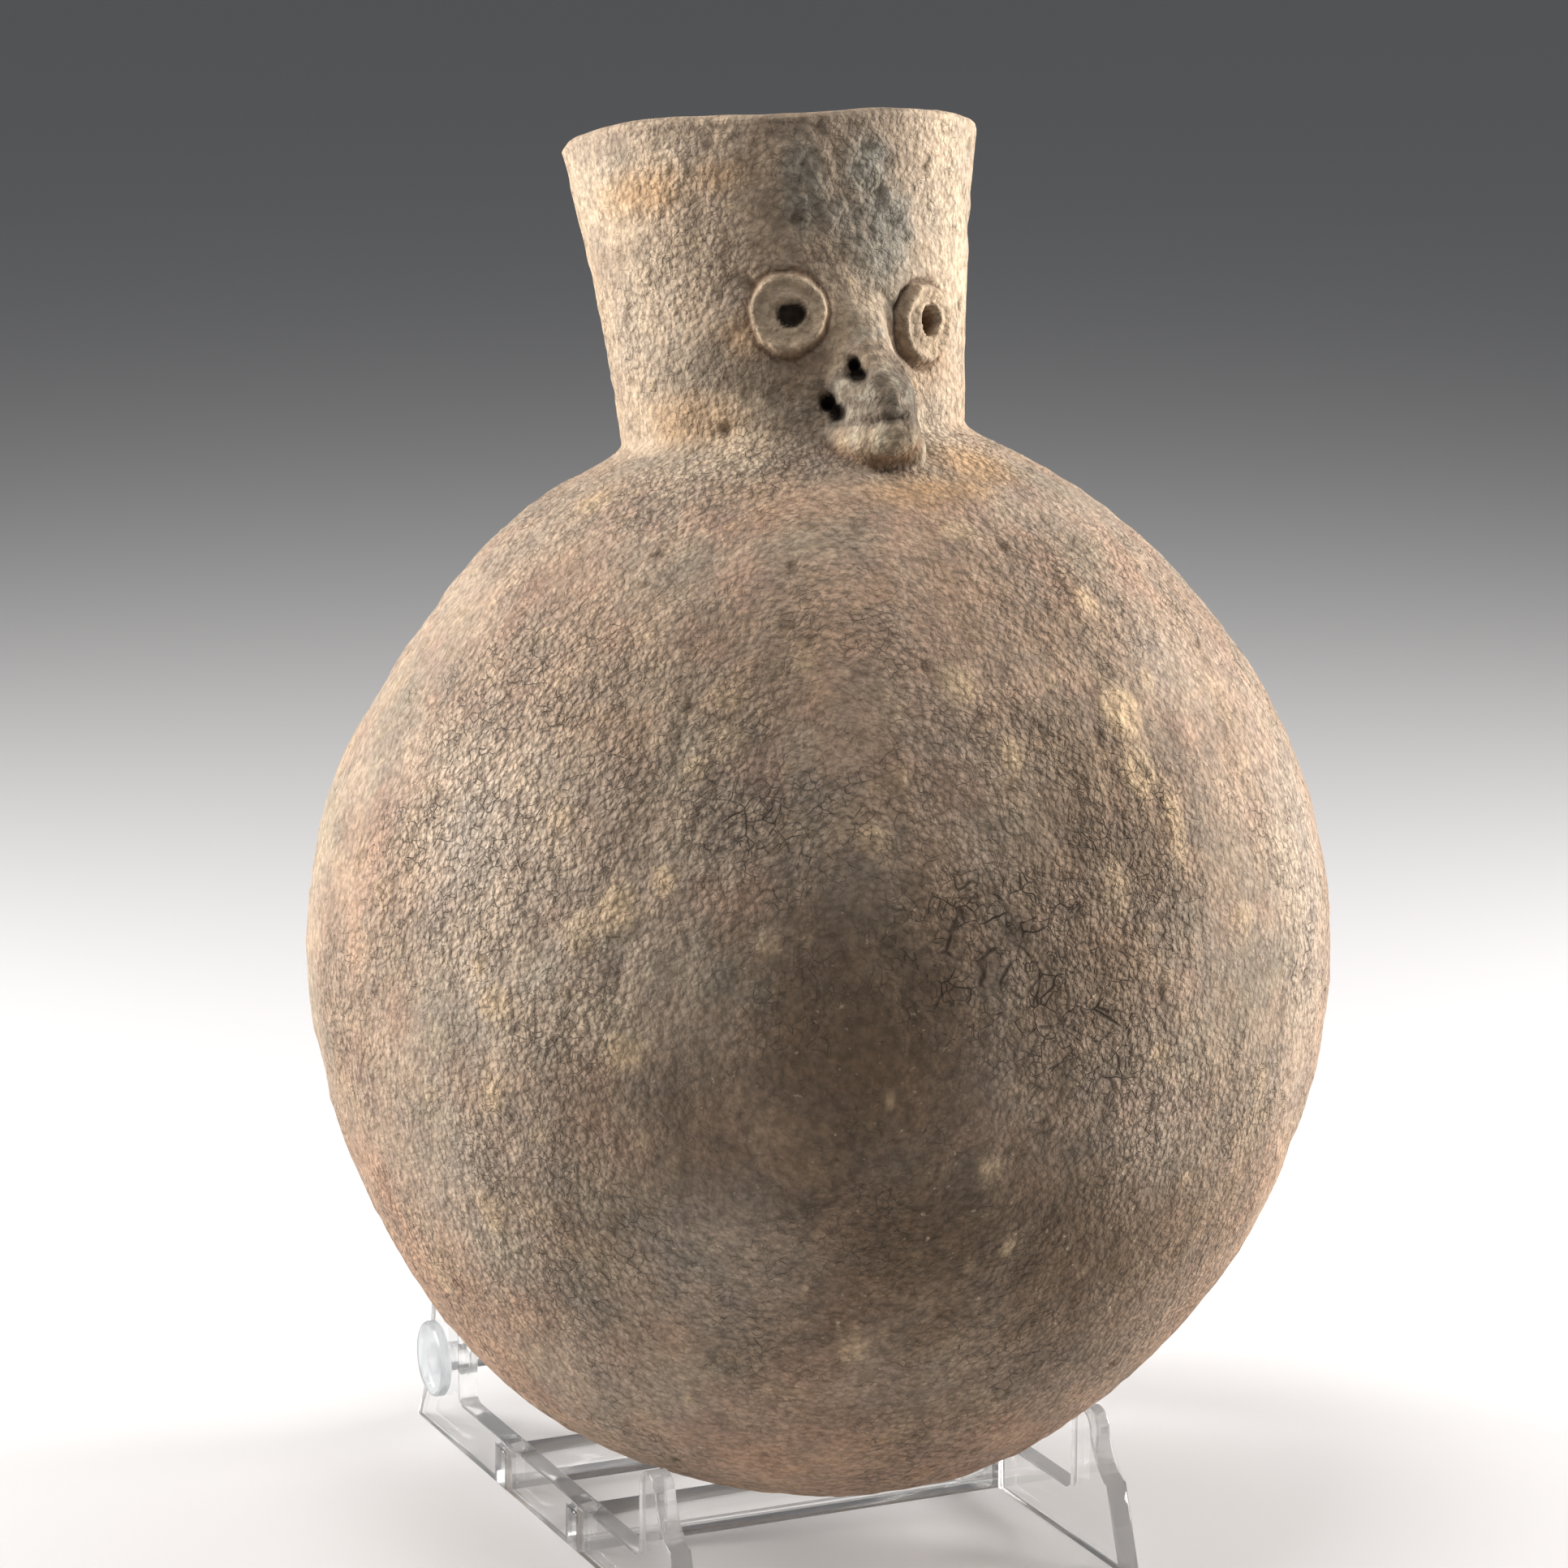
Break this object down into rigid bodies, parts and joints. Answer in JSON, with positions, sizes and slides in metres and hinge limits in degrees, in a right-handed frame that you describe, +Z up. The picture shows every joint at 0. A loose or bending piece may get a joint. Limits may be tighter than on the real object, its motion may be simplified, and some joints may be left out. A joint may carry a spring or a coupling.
{
  "type": "face-neck jar",
  "caption": "Round-bottomed earthenware jar with an animal face modelled on its flared open neck, leaning back in a clear slotted cradle.",
  "frame": {"origin": "on the surface that the cradle stands on, under the middle of the part's box", "axes": "+Z up, -Y the way the face looks, +X to the right of someone who faces it"},
  "size_m": [0.199, 0.1994, 0.2831],
  "materials": {
    "fired_clay": "matt unglazed earthenware, crazed and pitted, with fire clouds and buff encrustation",
    "clear_acrylic": "clear polished acrylic"
  },
  "bodies": {
    "root": {"jar": "fired_clay", "stand_side_left": "clear_acrylic", "stand_side_right": "clear_acrylic", "stand_bar_front": "clear_acrylic", "stand_bar_rear": "clear_acrylic", "stand_rod": "clear_acrylic", "stand_cap_left": "clear_acrylic", "stand_cap_right": "clear_acrylic"}
  },
  "joints": []
}
